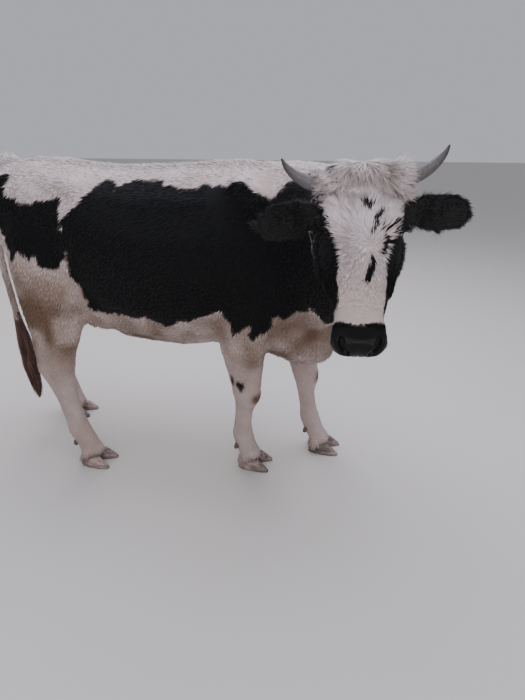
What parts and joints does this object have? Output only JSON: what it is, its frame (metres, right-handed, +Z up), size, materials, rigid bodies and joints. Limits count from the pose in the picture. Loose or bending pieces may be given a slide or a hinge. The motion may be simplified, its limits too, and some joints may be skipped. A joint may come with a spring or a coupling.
{
  "type": "horned cow",
  "caption": "Life-size standing horned cow with a black and white coat, head turned to its right, wearing a neck chain.",
  "frame": {"origin": "on the ground in the middle of the animal's box", "axes": "+X along the trunk towards the chest, +Y to the cow's left, +Z up; the turned head faces -Y"},
  "size_m": [1.947, 1.0526, 1.3754],
  "materials": {
    "coat": "short hair in white and black patches, longer and shaggy on the forehead, poll and ears",
    "tail_hair": "long coarse dark red-brown hair",
    "muzzle_skin": "bare moist black skin with a fine pebbled grain",
    "udder_skin": "thin pink skin under sparse pale hair",
    "horn": "grey keratin with growth rings at the base and a darker, smoother tip",
    "hoof": "pinkish beige keratin with fine rings, darker on some claws",
    "eye": "wet dark brown eye",
    "chain_steel": "dull galvanised steel, worn and dirty"
  },
  "bodies": {
    "root": {"head": "coat", "muzzle": "muzzle_skin", "eye_right": "eye", "eye_left": "eye", "ear_right": "coat", "ear_left": "coat", "horn_right": "horn", "horn_left": "horn", "neck": "coat", "neck_chain": "chain_steel", "trunk": "coat", "udder": "udder_skin", "tail": "coat", "tail_switch": "tail_hair", "leg_front_right_upper": "coat", "leg_front_right_lower": "coat", "leg_front_left_upper": "coat", "leg_front_left_lower": "coat", "leg_hind_right_upper": "coat", "leg_hind_right_lower": "coat", "leg_hind_left_upper": "coat", "leg_hind_left_lower": "coat", "hoof_front_right_right": "hoof", "hoof_front_right_left": "hoof", "hoof_front_left_right": "hoof", "hoof_front_left_left": "hoof", "hoof_hind_right_right": "hoof", "hoof_hind_right_left": "hoof", "hoof_hind_left_right": "hoof", "hoof_hind_left_left": "hoof", "dewclaw_front_right_right": "hoof", "dewclaw_front_right_left": "hoof", "dewclaw_front_left_right": "hoof", "dewclaw_front_left_left": "hoof", "dewclaw_hind_right_right": "hoof", "dewclaw_hind_right_left": "hoof", "dewclaw_hind_left_right": "hoof", "dewclaw_hind_left_left": "hoof"}
  },
  "joints": []
}
